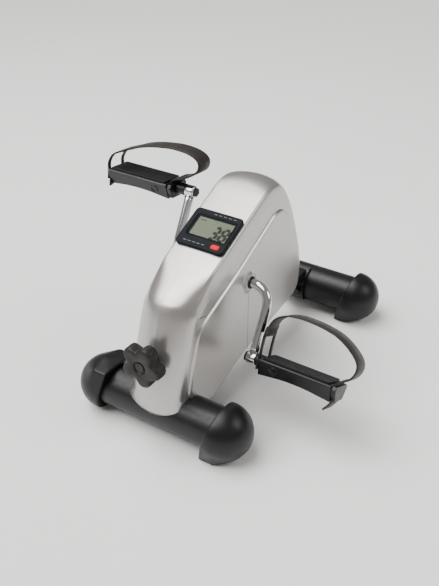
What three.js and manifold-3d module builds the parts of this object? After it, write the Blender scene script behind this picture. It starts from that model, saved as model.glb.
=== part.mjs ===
// Pedal exerciser: two foot tubes on end caps, a steel frame in a two-half plastic housing,
// a bent-rod crank with a brake wheel, two strapped pedals, a monitor and a resistance knob.
// Millimetres. +X to the right-hand pedal, +Y to the back, +Z up, floor at z = FLOOR.
import * as THREE from 'three';
import { mergeVertices } from 'three/addons/utils/BufferGeometryUtils.js';
import Module from 'manifold-3d';

const wasm = await Module();
wasm.setup();

// ---------- driving dimensions ----------
const FLOOR = 4.5;                 // height at which the caps' soles are cut flat
const CENTRE_SHIFT = [-5, 3.6, -FLOOR]; // centres the machine's box on the origin and sets it on z = 0
const GAP = 0.3;                   // left between neighbours that touch

const TUBE_Y = 195;                // foot tubes at -Y and +Y
const TUBE_Z = 41;
const TUBE_R = 30;
const TUBE_WALL = 2;
const TUBE_HALF = 108;
const CAP_X = 95.1;                // centre of each cap's dome
const CAP_R = 39.6;
const CAP_RIM_X = 84;              // where the slanted rim crosses the tube's axis
const CAP_RIM_LEAN = 15;
const HEEL_X = 69;
const HEEL_FOOT_HALF = 29;
const BOLT_X = 9.5;
const SADDLE_HALF = 18;
const SADDLE_THICK = 4;

const AXLE_Y = -56.5;              // crank axle
const AXLE_Z = 177.5;
const AXLE_R = 6;
const CRANK_R = 95.5;
const CRANK_ANGLE = 61.8;          // degrees that the left arm stands above +Y
const ROD_R = 6.5;
const ROD_START_X = 46.3;
const ARM_X = 80;                  // plane of the crank arms
const BEND_R = 30;
const EYE_R = 8.4;
const EYE_HALF = 6.6;

const SHELL_HALF = 41.5;           // flat side of the housing
const SHELL_WALL = 2.5;
const PANEL_X = 44.5;              // raised side panel
const BOSS_X = 48.3;               // collar that the crank leaves through

const WHEEL_R = 58;                // brake wheel on the crank axle
const KNOB_Z = 130.5;                // height of the resistance screw, which runs along Y
const KNOB_Y = -223.4;             // back of the knob's grip
const KNOB_R = 30;
const KNOB_DEPTH = 18;
const KNOB_LOBES = 5;
const KNOB_PHASE = 1.16;           // radians from +X to the middle of the first lobe

const MONITOR_W = 73.4;
const MONITOR_H = 62;
const MONITOR_Y = -83;
const MONITOR_SLOPE = 25.5;        // degrees that the monitor leans back
const SPINE_Z = 266.7;             // height of the sloping spine at SPINE_Y
const SPINE_Y = -51.2;

const PEDAL_INNER = { left: 108.4, right: 98.9 };
const PEDAL_LONG = 104.5;          // body without its end bridge
const PEDAL_TOP_DEEP = 44;
const PEDAL_BOTTOM_DEEP = 28;
const PEDAL_TOP = 10;              // above the spindle
const PEDAL_BOTTOM = -15;
const PEDAL_END = 6.5;
const STRAP_WIDE = 28;
const FORK_WIDE = 36;
const STRAP_THICK = 2.4;

// ---------- materials ----------
const SILVER = { color: 0xb9b7b4, roughness: 0.34, metalness: 0.35 };
const BLACK_STEEL = { color: 0x17181b, roughness: 0.38, metalness: 0.3 };
const BLACK_PLASTIC = { color: 0x141517, roughness: 0.5, metalness: 0 };
const CHROME = { color: 0xd9dde2, roughness: 0.08, metalness: 1 };
const STEEL = { color: 0x9a9c9f, roughness: 0.35, metalness: 1 };
const ZINC = { color: 0xb4b6b4, roughness: 0.4, metalness: 0.9 };
const RUBBER = { color: 0x2b2826, roughness: 0.75, metalness: 0 };
const CHARCOAL = { color: 0x23272b, roughness: 0.35, metalness: 0 };
const LCD_GREEN = { color: 0x7d8672, roughness: 0.4, metalness: 0 };
const GLASS = { color: 0xdfe6e0, roughness: 0.05, metalness: 0 };
const RED = { color: 0xd8262c, roughness: 0.35, metalness: 0 };
const FELT = { color: 0x6b6558, roughness: 0.95, metalness: 0 };
const BOARD = { color: 0x1f5a36, roughness: 0.5, metalness: 0 };

// ---------- booleans ----------
const machine = new THREE.Group();
machine.position.set(...CENTRE_SHIFT);

function toSolid(geometry) {
  const plain = geometry.clone();
  plain.deleteAttribute('normal');
  plain.deleteAttribute('uv');
  const merged = mergeVertices(plain, 1e-4);
  return new wasm.Manifold(new wasm.Mesh({
    numProp: 3,
    vertProperties: new Float32Array(merged.attributes.position.array),
    triVerts: new Uint32Array(merged.index.array),
  }));
}

function toGeometry(solid) {
  const mesh = solid.getMesh();
  const geometry = new THREE.BufferGeometry();
  geometry.setAttribute('position', new THREE.BufferAttribute(new Float32Array(mesh.vertProperties), 3));
  geometry.setIndex(new THREE.BufferAttribute(new Uint32Array(mesh.triVerts), 1));
  geometry.computeVertexNormals();
  return geometry;
}

function combine(operation, first, others) {
  let solid = toSolid(first);
  for (const other of others) {
    solid = solid[operation](toSolid(other));
  }
  return toGeometry(solid);
}

const join = (first, ...others) => combine('add', first, others);
const cut = (first, ...others) => combine('subtract', first, others);
const common = (first, ...others) => combine('intersect', first, others);
const hull = (geometry) => toGeometry(toSolid(geometry).hull());

function addPart(name, geometry, material, parent = machine) {
  const mesh = new THREE.Mesh(geometry, new THREE.MeshStandardMaterial(material));
  mesh.name = name;
  parent.add(mesh);
  return mesh;
}

// ---------- simple shapes ----------
const degrees = THREE.MathUtils.degToRad;

function mirrorX(geometry) {
  return toGeometry(toSolid(geometry).mirror([1, 0, 0]));
}

function box(x0, x1, y0, y1, z0, z1) {
  const shape = new THREE.BoxGeometry(x1 - x0, y1 - y0, z1 - z0);
  return shape.translate((x0 + x1) / 2, (y0 + y1) / 2, (z0 + z1) / 2);
}

function rodX(r, x0, x1, y, z, sides = 24, rEnd = r) {
  const shape = new THREE.CylinderGeometry(r, rEnd, x1 - x0, sides);
  shape.rotateZ(Math.PI / 2);
  return shape.translate((x0 + x1) / 2, y, z);
}

function rodY(r, y0, y1, x, z, sides = 16) {
  const shape = new THREE.CylinderGeometry(r, r, y1 - y0, sides);
  return shape.translate(x, (y0 + y1) / 2, z);
}

// turned ring round the X axis; profile is [x, radius] pairs that close on themselves
function turnedX(profile, y, z, sides = 36) {
  const points = [...profile, profile[0]].map(([x, r]) => new THREE.Vector2(r, x));
  const shape = new THREE.LatheGeometry(points, sides);
  shape.rotateZ(-Math.PI / 2);
  return shape.translate(0, y, z);
}

function ringX(outer, inner, x0, x1, y, z, sides = 36) {
  return turnedX([[x0, inner], [x0, outer], [x1, outer], [x1, inner]], y, z, sides);
}

// flat plate in the YZ plane, from x0 to x1
function plateYZ(outline, x0, x1, options = {}) {
  const shape = new THREE.Shape(outline.map(([y, z]) => new THREE.Vector2(y, z)));
  const plate = new THREE.ExtrudeGeometry(shape, { depth: x1 - x0, bevelEnabled: false, ...options });
  const turn = new THREE.Matrix4().set(0, 0, 1, 0, 1, 0, 0, 0, 0, 1, 0, 0, 0, 0, 0, 1);
  plate.applyMatrix4(turn);
  return plate.translate(x0, 0, 0);
}

// flat plate in the XZ plane, from y0 to y1
function plateXZ(outline, y0, y1, options = {}) {
  const shape = new THREE.Shape(outline.map(([x, z]) => new THREE.Vector2(x, z)));
  const plate = new THREE.ExtrudeGeometry(shape, { depth: y1 - y0, bevelEnabled: false, ...options });
  plate.rotateX(Math.PI / 2);
  return plate.translate(0, y1, 0);
}

function roundedRect(width, height, radius) {
  const w = width / 2 - radius;
  const h = height / 2 - radius;
  const shape = new THREE.Shape();
  shape.absarc(w, h, radius, 0, Math.PI / 2);
  shape.absarc(-w, h, radius, Math.PI / 2, Math.PI);
  shape.absarc(-w, -h, radius, Math.PI, 1.5 * Math.PI);
  shape.absarc(w, -h, radius, 1.5 * Math.PI, 2 * Math.PI);
  return shape;
}

function roundedBlock(width, height, radius, low, high, curveSegments = 5) {
  const shape = roundedRect(width, height, radius);
  const block = new THREE.ExtrudeGeometry(shape, { depth: high - low, bevelEnabled: false, curveSegments });
  return block.translate(0, 0, low);
}

// ---------- foot tubes, end caps, tube bolts ----------
function footTube(side) {
  const y = side * TUBE_Y;
  const middle = side * (TUBE_Y - TUBE_R);
  const tube = ringX(TUBE_R, TUBE_R - TUBE_WALL, -TUBE_HALF, TUBE_HALF, y, TUBE_Z, 32);
  const holes = [-1, 1].map((s) => rodY(6.3, middle - 12, middle + 12, s * BOLT_X, TUBE_Z));
  return cut(tube, ...holes);
}

// domed cap with a slanted rim and a heel on the rim's long side; turned is half a turn on the tube
function endCap(side, end, turned) {
  const y = side * TUBE_Y;
  const dome = new THREE.SphereGeometry(CAP_R, 22, 11);
  dome.rotateZ(Math.PI / 2);
  dome.translate(CAP_X, y, TUBE_Z);
  const lowerDome = common(dome, box(0, 200, y - 60, y + 60, -20, TUBE_Z));
  const sole = box(HEEL_X, CAP_X, y - HEEL_FOOT_HALF, y + HEEL_FOOT_HALF, FLOOR, FLOOR + 4);
  const heel = hull(join(lowerDome, sole));
  const behindRim = new THREE.BoxGeometry(60, 200, 160);
  behindRim.translate(-30, 0, 0);
  behindRim.rotateY(degrees(CAP_RIM_LEAN));
  behindRim.translate(CAP_RIM_X, y, TUBE_Z);
  const bore = rodX(TUBE_R + GAP, 0, TUBE_HALF + GAP, y, TUBE_Z, 32);
  let cap = cut(join(dome, heel), behindRim, bore);
  if (turned) {
    cap = cap.translate(0, -y, -TUBE_Z).rotateX(Math.PI).translate(0, y, TUBE_Z);
  }
  cap = cut(cap, box(0, 200, y - 60, y + 60, -20, FLOOR));
  return end > 0 ? cap : mirrorX(cap);
}

function buildFeet() {
  for (const [place, side] of [['front', -1], ['rear', 1]]) {
    addPart(`${place}_tube`, footTube(side), BLACK_STEEL);
    for (const [hand, end] of [['left', -1], ['right', 1]]) {
      addPart(`${place}_${hand}_cap`, endCap(side, end, side < 0 && end < 0), BLACK_PLASTIC);
      const inner = side * (TUBE_Y - TUBE_R);
      const insert = new THREE.LatheGeometry([
        new THREE.Vector2(3.3, 0), new THREE.Vector2(6, 0),
        new THREE.Vector2(6, 12), new THREE.Vector2(3.3, 12),
        new THREE.Vector2(3.3, 0),
      ], 16);
      insert.translate(0, side > 0 ? 0 : -12, 0);
      insert.translate(end * BOLT_X, inner + side * 0.4, TUBE_Z);
      addPart(`${place}_${hand}_insert`, insert, ZINC);
      const shank = rodY(3, -14, 2, 0, 0, 16);
      const head = rodY(6, 1.5, 6.5, 0, 0, 6);
      const bolt = join(shank, head);
      bolt.rotateZ(side > 0 ? Math.PI : 0);
      bolt.translate(end * BOLT_X, inner - side * (SADDLE_THICK + GAP + 1.5), TUBE_Z);
      addPart(`${place}_${hand}_bolt`, bolt, ZINC);
    }
  }
}

// ---------- frame ----------
const PLATE_X = 14;
const PLATE_THICK = 4;
const THRUST_Y = [-140, -134];     // plate that holds the resistance screw endways

function saddle(side) {
  const y = side * TUBE_Y;
  const inner = side * (TUBE_Y - TUBE_R - SADDLE_THICK - GAP);
  const outer = side * (TUBE_Y - 8);
  const ring = ringX(TUBE_R + GAP + SADDLE_THICK, TUBE_R + GAP, -SADDLE_HALF, SADDLE_HALF, y, TUBE_Z, 32);
  const keep = box(-SADDLE_HALF, SADDLE_HALF, Math.min(inner, outer), Math.max(inner, outer), 22, 80);
  const face = inner - side * 1.5;
  const padEnds = [face, inner + side * 3];
  const pad = box(-SADDLE_HALF, SADDLE_HALF, Math.min(...padEnds), Math.max(...padEnds),
    TUBE_Z - 8, TUBE_Z + 8);
  return join(common(ring, keep), pad);
}

const CHANNEL = [[-172, 50], [176, 58], [176, 74], [-172, 66]];

function buildFrame() {
  const channel = plateYZ(CHANNEL, -PLATE_X - 0.5, PLATE_X + 0.5);
  const legs = plateYZ([[-104, 56], [-22, 58], [-44, 172], [-68, 172]], PLATE_X, PLATE_X + PLATE_THICK);
  const arm = plateYZ([[THRUST_Y[0], KNOB_Z - 12], [-80, 96], [-70, 140], [THRUST_Y[0], KNOB_Z + 12]],
    PLATE_X, PLATE_X + PLATE_THICK);
  const bearingBoss = rodX(18, PLATE_X, 32, AXLE_Y, AXLE_Z);
  const right = join(legs, arm, bearingBoss);
  const thrust = box(-PLATE_X - 1, PLATE_X + 1, ...THRUST_Y, KNOB_Z - 11.5, KNOB_Z + 11.5);
  const bores = [
    rodX(13 + GAP, 19, 40, AXLE_Y, AXLE_Z),
    rodX(13 + GAP, -40, -19, AXLE_Y, AXLE_Z),
    rodX(8, -40, 40, AXLE_Y, AXLE_Z, 32),
    rodY(4.4, -150, -120, 0, KNOB_Z),
    rodX(TUBE_R + GAP, -40, 40, -TUBE_Y, TUBE_Z, 32),
    rodX(TUBE_R + GAP, -40, 40, TUBE_Y, TUBE_Z, 32),
  ];
  for (const side of [-1, 1]) {
    for (const s of [-1, 1]) {
      bores.push(rodY(3.4, side > 0 ? 130 : -170, side > 0 ? 170 : -130, s * BOLT_X, TUBE_Z));
    }
  }
  const frame = cut(join(channel, right, mirrorX(right), thrust, saddle(-1), saddle(1)), ...bores);
  addPart('main_frame', frame, BLACK_STEEL);
  for (const [hand, sign] of [['left', -1], ['right', 1]]) {
    const bearing = ringX(13, AXLE_R + GAP, 19 + GAP, 31, AXLE_Y, AXLE_Z, 24);
    addPart(`${hand}_bearing`, sign > 0 ? bearing : mirrorX(bearing), STEEL);
  }
}

// ---------- housing ----------
// Side outline at the centre plane, from the tongue over the front tube, up the front, over the
// crest and down the back: [y, z, flatness]. Flatness 0 is a rounded edge, 1 the flat spine.
const OUTLINE = [
  [-228, 72, 0], [-225, 90, 0], [-220.5, 108, 0], [-215, 127, 0], [-209.5, 146, 0], [-203, 165, 0],
  [-197.5, 180, 0.05], [-193, 190, 0.15], [-187.5, 197.8, 0.3], [-179, 203.8, 0.45], [-169, 209.3, 0.65],
  [-158, 214.8, 0.85], [-147, 220, 1], [-120, 233, 1], [-85, 249.7, 1], [-51, 266, 1], [-30, 276, 1],
  [-11, 285, 1], [3, 290.4, 0.9], [16, 293.2, 0.75], [29, 293, 0.6], [42, 287.5, 0.45], [55, 277, 0.35],
  [68, 261.5, 0.25], [81, 241.5, 0.15], [92.5, 219, 0.05], [103, 193, 0], [111, 169, 0], [117, 146, 0],
  [119, 128, 0], [116, 112, 0],
];
const TONGUE = [-228, 55];
const TONGUE_DIRECTION = [0.62, 0.38];
const UNDERSIDE = [
  [108, 100], [80, 90], [33, 82], [-44, 71], [-80, 61], [-105, 52], [-146, 38], [-180, 38], [-210, 44],
];
const LEVELS = [0, 14, 26, 34, 38.5, 40.5, SHELL_HALF];
const FLAT_INSET = [0, 0.2, 0.6, 1.1, 1.9, 11, 24];
const ROUND_INSET = [0, 1.8, 6.3, 12, 17, 21.5, 27];

// outline of the housing at one distance from the centre plane, moved in by the wall's thickness
function housingRing(level, wall) {
  const ring = [];
  const tongueIn = ROUND_INSET[level];
  const [ty, tz] = TONGUE;
  ring.push([ty + TONGUE_DIRECTION[0] * tongueIn + wall, tz + TONGUE_DIRECTION[1] * tongueIn - wall]);
  OUTLINE.forEach(([y, z, flat], i) => {
    const before = OUTLINE[Math.max(i - 1, 0)];
    const after = OUTLINE[Math.min(i + 1, OUTLINE.length - 1)];
    const length = Math.hypot(after[0] - before[0], after[1] - before[1]);
    const inward = [(after[1] - before[1]) / length, -(after[0] - before[0]) / length];
    const depth = THREE.MathUtils.lerp(ROUND_INSET[level], FLAT_INSET[level], flat) + wall;
    const lift = i === 0 ? Math.max(0, ROUND_INSET[level] - 9) * 0.25 : 0;
    ring.push([y + inward[0] * depth, z + inward[1] * depth + lift]);
  });
  for (const [y, z] of UNDERSIDE) {
    ring.push([y, z - 3 * wall]);
  }
  return ring;
}

// closed solid through rings that stand at the given x positions
function loft(rings, positions) {
  const count = rings[0].length;
  const vertices = [];
  rings.forEach((ring, k) => ring.forEach(([y, z]) => vertices.push(positions[k], y, z)));
  const index = [];
  for (let k = 0; k < rings.length - 1; k += 1) {
    for (let i = 0; i < count; i += 1) {
      const a = k * count + i;
      const b = k * count + (i + 1) % count;
      index.push(a, b, a + count, b, b + count, a + count);
    }
  }
  for (const [k, flip] of [[0, false], [rings.length - 1, true]]) {
    const flat = rings[k].map(([y, z]) => new THREE.Vector2(y, z));
    for (const [a, b, c] of THREE.ShapeUtils.triangulateShape(flat, [])) {
      const base = k * count;
      index.push(...(flip ? [base + a, base + b, base + c] : [base + a, base + c, base + b]));
    }
  }
  const geometry = new THREE.BufferGeometry();
  geometry.setAttribute('position', new THREE.Float32BufferAttribute(vertices, 3));
  geometry.setIndex(index);
  geometry.computeVertexNormals();
  return geometry;
}

function housingLoft(wall, start, end, levels) {
  const rings = levels.map((level) => housingRing(level, wall).reverse());
  const reach = end / SHELL_HALF;
  const positions = levels.map((level) => (level === 0 ? start : LEVELS[level] * reach));
  return loft(rings, positions);
}

const PANEL_OUTLINE = [
  [15, 250], [-81, 202.5], [-160, 168.5], [-170, 162], [-176, 152], [-187, 118], [-196, 72], [-186, 52],
  [-146, 38], [-105, 52], [-80, 61], [-44, 71], [33, 82], [76, 89.5], [88, 98], [92, 112], [92, 135],
  [86, 165], [76, 193], [62, 218], [45, 238], [30, 249],
];
const SCREW_PLACES = [[-192, 96], [-162, 182], [22, 270], [82, 128]];
const SCREW_BOSS_R = 5;

function monitorFrame(geometry) {
  geometry.rotateX(degrees(MONITOR_SLOPE));
  const z = SPINE_Z + (MONITOR_Y - SPINE_Y) * Math.tan(degrees(MONITOR_SLOPE));
  return geometry.translate(0, MONITOR_Y, z);
}

function buildHousing() {
  const outer = housingLoft(0, 0.15, SHELL_HALF, [0, 1, 2, 3, 4, 5, 6]);
  const bevel = { bevelEnabled: true, bevelThickness: 2.6, bevelSize: 3, bevelOffset: -3, bevelSegments: 1 };
  const panel = plateYZ(PANEL_OUTLINE, SHELL_HALF - 4, PANEL_X - 2.6, bevel);
  const collar = rodX(14.5, SHELL_HALF - 1, BOSS_X, AXLE_Y, AXLE_Z, 24, 9.5);
  const inside = housingLoft(SHELL_WALL, -1, SHELL_HALF - SHELL_WALL, [0, 3, 5, 6]);
  const pocketBevel = { ...bevel, bevelThickness: 1, bevelSize: 1, bevelOffset: -7 };
  const pocket = plateYZ(PANEL_OUTLINE, SHELL_HALF - 6, PANEL_X - SHELL_WALL - 1, pocketBevel);
  const hollow = cut(join(outer, panel, collar), inside, pocket);
  const bosses = SCREW_PLACES.map(([y, z]) => rodX(SCREW_BOSS_R, 0.15, SHELL_HALF - 1, y, z, 8));
  const tools = [
    rodX(TUBE_R + GAP, -60, 60, -TUBE_Y, TUBE_Z, 32),
    rodX(ROD_R + 0.8, 30, 60, AXLE_Y, AXLE_Z, 24),
    box(34, 60, AXLE_Y - 0.4, AXLE_Y + 0.4, 50, AXLE_Z),
    monitorFrame(roundedBlock(62, 52, 4, -30, 20)),
    rodY(10.5, -230, -195, 0, KNOB_Z, 24),
  ];
  const right = cut(join(hollow, ...bosses), ...tools);
  const pilot = SCREW_PLACES.map(([y, z]) => rodX(1.9, -1, 30, y, z, 12));
  addPart('right_shell', cut(right, ...pilot), SILVER);
  const through = SCREW_PLACES.map(([y, z]) => rodX(2.1, -60, 1, y, z, 12));
  const counter = SCREW_PLACES.map(([y, z]) => rodX(4.2, -60, -34, y, z, 12));
  addPart('left_shell', cut(mirrorX(right), ...through, ...counter), SILVER);
  SCREW_PLACES.forEach(([y, z], i) => {
    const shank = rodX(1.6, -35, 14, y, z, 12);
    const head = rodX(3.6, -36.9, -34.3, y, z, 12);
    addPart(`shell_screw_${i + 1}`, join(shank, head), ZINC);
  });
}

// ---------- crank, brake wheel, brake, knob ----------
const armDirection = (side) => [
  -side * Math.cos(degrees(CRANK_ANGLE)), -side * Math.sin(degrees(CRANK_ANGLE)),
];
const pedalAxle = (side) => [
  AXLE_Y + CRANK_R * armDirection(side)[0], AXLE_Z + CRANK_R * armDirection(side)[1],
];

// bent rod: out along X, round the bend and down the arm
function crankArm(side) {
  const [dy, dz] = armDirection(side);
  const point = (x, out) => new THREE.Vector3(side * x, AXLE_Y + out * dy, AXLE_Z + out * dz);
  const path = new THREE.CurvePath();
  const bendStart = point(ARM_X - BEND_R, 0);
  const bendEnd = point(ARM_X, BEND_R);
  path.add(new THREE.LineCurve3(point(ROD_START_X, 0), bendStart));
  path.add(new THREE.QuadraticBezierCurve3(bendStart, point(ARM_X, 0), bendEnd));
  path.add(new THREE.LineCurve3(bendEnd, point(ARM_X, CRANK_R - 4)));
  const section = new THREE.Shape();
  section.absarc(0, 0, ROD_R, 0, 2 * Math.PI);
  const rod = new THREE.ExtrudeGeometry(section, { extrudePath: path, steps: 18, curveSegments: 5 });
  const eye = rodX(EYE_R, -EYE_HALF, EYE_HALF, 0, 0, 24);
  const [py, pz] = pedalAxle(side);
  eye.translate(side * ARM_X, py, pz);
  const hole = rodX(5.3, -20, 20, 0, 0, 20).translate(side * ARM_X, py, pz);
  return cut(join(rod, eye), hole);
}

function buildCrank() {
  addPart('crank_axle', rodX(AXLE_R, -ROD_START_X + GAP, ROD_START_X - GAP, AXLE_Y, AXLE_Z), STEEL);
  const wheel = turnedX([
    [-9, AXLE_R + GAP], [-9, 13], [-3, 13], [-3, 50], [-8, 50], [-8, WHEEL_R], [8, WHEEL_R], [8, 50],
    [3, 50], [3, 13], [9, 13], [9, AXLE_R + GAP],
  ], AXLE_Y, AXLE_Z, 30);
  addPart('brake_wheel', wheel, STEEL);
  addPart('speed_magnet', rodX(4, 3.3, 7, AXLE_Y + 30, AXLE_Z + 22, 16), ZINC);
  for (const [hand, side] of [['left', -1], ['right', 1]]) {
    addPart(`${hand}_crank_arm`, crankArm(side), CHROME);
    const [py, pz] = pedalAxle(side);
    const seal = ringX(9.4, ROD_R + 0.5, BOSS_X + GAP, BOSS_X + 3.2, AXLE_Y, AXLE_Z, 24);
    addPart(`${hand}_crank_seal`, side > 0 ? seal : mirrorX(seal), BLACK_PLASTIC);
    const shoulder = [ARM_X + EYE_HALF + GAP, PEDAL_INNER[hand] - (side > 0 ? 1 : PEDAL_END + 1)];
    const tip = PEDAL_INNER[hand] + PEDAL_LONG - 10;
    const spindle = turnedX([
      [ARM_X - EYE_HALF, 0], [ARM_X - EYE_HALF, 5], [shoulder[0], 5], [shoulder[0], 8.5],
      [shoulder[1], 8.5], [shoulder[1], 5], [tip, 5], [tip, 0],
    ], 0, 0, 20);
    const placed = (side > 0 ? spindle : mirrorX(spindle)).translate(0, py, pz);
    addPart(`${hand}_pedal_spindle`, placed, BLACK_STEEL);
    const nut = rodX(7, ARM_X - EYE_HALF - 3.6, ARM_X - EYE_HALF - GAP, 0, 0, 6);
    const nutPlaced = (side > 0 ? nut : mirrorX(nut)).translate(0, py, pz);
    addPart(`${hand}_spindle_nut`, nutPlaced, BLACK_STEEL);
  }
}

// lobed grip, hub and socket; built with local +Z out of the housing, then stood along the screw
function lobedKnob() {
  const outline = new THREE.Shape();
  const steps = 40;
  for (let i = 0; i < steps; i += 1) {
    const angle = (2 * Math.PI * i) / steps;
    const r = KNOB_R - 8.5 * (0.5 - 0.5 * Math.cos(KNOB_LOBES * (angle - KNOB_PHASE))) ** 1.5;
    outline[i === 0 ? 'moveTo' : 'lineTo'](r * Math.cos(angle), r * Math.sin(angle));
  }
  outline.closePath();
  const grip = new THREE.ExtrudeGeometry(outline, {
    depth: KNOB_DEPTH - 4.4,
    bevelEnabled: true, bevelThickness: 2.2, bevelSize: 2.2, bevelOffset: -2.2, bevelSegments: 1,
  });
  grip.translate(0, 0, 2.2);
  const dish = onAxis(7, 9, KNOB_DEPTH - 3, KNOB_DEPTH + 2);
  const knob = cut(join(grip, onAxis(9.5, 9.5, -18, 1)), dish, onAxis(4.3, 4.3, -20, 1, 20));
  return knob.rotateX(Math.PI / 2).translate(0, KNOB_Y, KNOB_Z);
}

// cylinder on the Z axis between two heights; rTop is its radius at the higher one
function onAxis(rTop, rBottom, low, high, sides = 24) {
  const shape = new THREE.CylinderGeometry(rTop, rBottom, high - low, sides);
  shape.rotateX(Math.PI / 2);
  return shape.translate(0, 0, (low + high) / 2);
}

function buildBrake() {
  addPart('tension_knob', lobedKnob(), BLACK_PLASTIC);
  const cover = onAxis(6.6, 6.4, KNOB_DEPTH - 2.7, KNOB_DEPTH - 1.1).rotateX(Math.PI / 2)
    .translate(0, KNOB_Y, KNOB_Z);
  addPart('knob_cover', cover, BLACK_PLASTIC);
  const [out, inn] = THRUST_Y;
  const collar = rodY(7.5, out - GAP - 3, out - GAP, 0, KNOB_Z);
  addPart('tension_screw', join(rodY(4, KNOB_Y, -112, 0, KNOB_Z), collar), ZINC);
  const clip = cut(rodY(7, inn + GAP, inn + GAP + 2.6, 0, KNOB_Z), rodY(4.3, inn, inn + 5, 0, KNOB_Z));
  addPart('screw_clip', clip, STEEL);
  const lining = ringX(WHEEL_R + 6.6, WHEEL_R + 0.6, -8, 8, AXLE_Y, AXLE_Z, 48);
  addPart('brake_pad', common(lining, box(-9, 9, -130, -60, KNOB_Z - 12, KNOB_Z + 13)), FELT);
  const block = box(-13.6, 13.6, -126, -80, KNOB_Z - 10, KNOB_Z + 10);
  const seat = rodX(WHEEL_R + 6.9, -20, 20, AXLE_Y, AXLE_Z, 48);
  addPart('brake_carrier', cut(block, seat, rodY(4.3, -130, -100, 0, KNOB_Z)), BLACK_PLASTIC);
}

// ---------- monitor ----------
const WINDOW = { x: 1.5, y: 3.5, w: 57, h: 32 };
const BUTTON = { x: 22.5, y: -23, w: 13, h: 7.5 };

function onMonitor(name, geometry, material) {
  return addPart(name, monitorFrame(geometry), material);
}

function buildMonitor() {
  const opening = roundedBlock(WINDOW.w, WINDOW.h, 2, -20, 20, 3).translate(WINDOW.x, WINDOW.y, 0);
  const buttonHole = roundedBlock(BUTTON.w + 0.8, BUTTON.h + 0.8, 3.2, -20, 20, 4)
    .translate(BUTTON.x, BUTTON.y, 0);
  const face = new THREE.ExtrudeGeometry(roundedRect(MONITOR_W, MONITOR_H, 6), {
    depth: 1, bevelEnabled: true, bevelThickness: 1.2, bevelSize: 1.2, bevelOffset: -1.2, bevelSegments: 1,
    curveSegments: 4,
  }).translate(0, 0, 1.1);
  onMonitor('monitor_bezel', cut(face, opening, buttonHole), CHARCOAL);
  const tub = cut(roundedBlock(61, 51, 3.6, -17, -0.4, 3), roundedBlock(57.6, 47.6, 2.4, -15, 5, 3));
  onMonitor('monitor_case', tub, BLACK_PLASTIC);
  const pane = roundedBlock(WINDOW.w - 0.6, WINDOW.h - 0.6, 1.8, 1, 2.6, 3);
  onMonitor('lcd_window', pane.translate(WINDOW.x, WINDOW.y, 0), GLASS);
  onMonitor('lcd_panel', box(-27, 27, -15, 15, -1.5, 0.7).translate(WINDOW.x, WINDOW.y, 0), LCD_GREEN);
  onMonitor('circuit_board', box(-27, 27, -22.5, 22.5, -4, -2.4), BOARD);
  const cell = new THREE.CylinderGeometry(5, 5, 44, 20);
  cell.rotateZ(Math.PI / 2);
  onMonitor('battery', cell.translate(0, 8, -4.6 - 5), ZINC);
  const button = join(
    roundedBlock(BUTTON.w, BUTTON.h, 2.8, 0.9, 3.9, 4),
    roundedBlock(6, 3, 1, -1.2, 1.5, 2).translate(0, 2.5, 0),
  );
  onMonitor('reset_button', button.translate(BUTTON.x, BUTTON.y, 0), RED);
}

function buildSensor() {
  addPart('speed_sensor', box(9.4, 13.6, AXLE_Y + 20, AXLE_Y + 34, AXLE_Z + 14, AXLE_Z + 34), BLACK_PLASTIC);
  const route = new THREE.CatmullRomCurve3([
    new THREE.Vector3(11.5, AXLE_Y + 27, AXLE_Z + 34.4),
    new THREE.Vector3(12.5, AXLE_Y + 25, AXLE_Z + 48),
    new THREE.Vector3(12, AXLE_Y + 11, AXLE_Z + 59),
    new THREE.Vector3(11, AXLE_Y - 1, AXLE_Z + 65.5),
  ]);
  const section = new THREE.Shape();
  section.absarc(0, 0, 1.2, 0, 2 * Math.PI);
  const lead = new THREE.ExtrudeGeometry(section, { extrudePath: route, steps: 14, curveSegments: 4 });
  addPart('sensor_lead', lead, BLACK_PLASTIC);
}

// ---------- pedals ----------
// Each pedal is built round its own spindle, +X outwards from the fork end of its strap.
const PEDAL_PITCH = { right: -26, left: -5 };
const STRAP_LEAN = { right: 0, left: 0.08 };
// strap's centre line above the spindle, [x from the pedal's middle, z]: up from the fork end,
// over the foot, down through the end bridge and out as a short tail
const STRAP_ROUTE = {
  right: [[-54.6, -8], [-54.6, 6], [-55, 22], [-55, 36], [-54, 48], [-50, 59], [-43, 66], [-32, 71],
    [-18, 73.5],
    [0, 73.5], [20, 71.5], [38, 67.5], [53, 60.5], [65, 52], [72.5, 44], [75, 36], [73.5, 28], [69, 20.5]],
  left: [[-54.6, -8], [-55, 6], [-55, 17], [-47, 29.5], [-32, 36.5], [-18, 42], [-3.5, 47.5], [16.5, 52.5],
    [44.5, 56.5], [61.5, 57], [78.5, 55.5], [91, 51.5], [97.5, 46], [98.5, 39], [95, 32], [84, 24],
    [72, 18.5]],
};
const STRAP_DOWN = [[62, 15.6], [55.6, 11.4], [54.6, 4], [54.6, -3]];
const STRAP_TAIL = { right: [[54.4, -13], [51, -20], [46, -27]], left: [[54.6, -10]] };
const STRAP_STEPS = 40;
const FORK_STEPS = 8;

// flat band along a route, between two of its steps, lying between y0 and y1
function ribbon(curve, first, last, y0, y1) {
  const outer = [];
  const inner = [];
  for (let i = first; i <= last; i += 1) {
    const p = curve.getPoint(i / STRAP_STEPS);
    const t = curve.getTangent(i / STRAP_STEPS);
    outer.push([p.x - (t.z * STRAP_THICK) / 2, p.z + (t.x * STRAP_THICK) / 2]);
    inner.push([p.x + (t.z * STRAP_THICK) / 2, p.z - (t.x * STRAP_THICK) / 2]);
  }
  return plateXZ([...outer, ...inner.reverse()], y0, y1);
}

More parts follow.
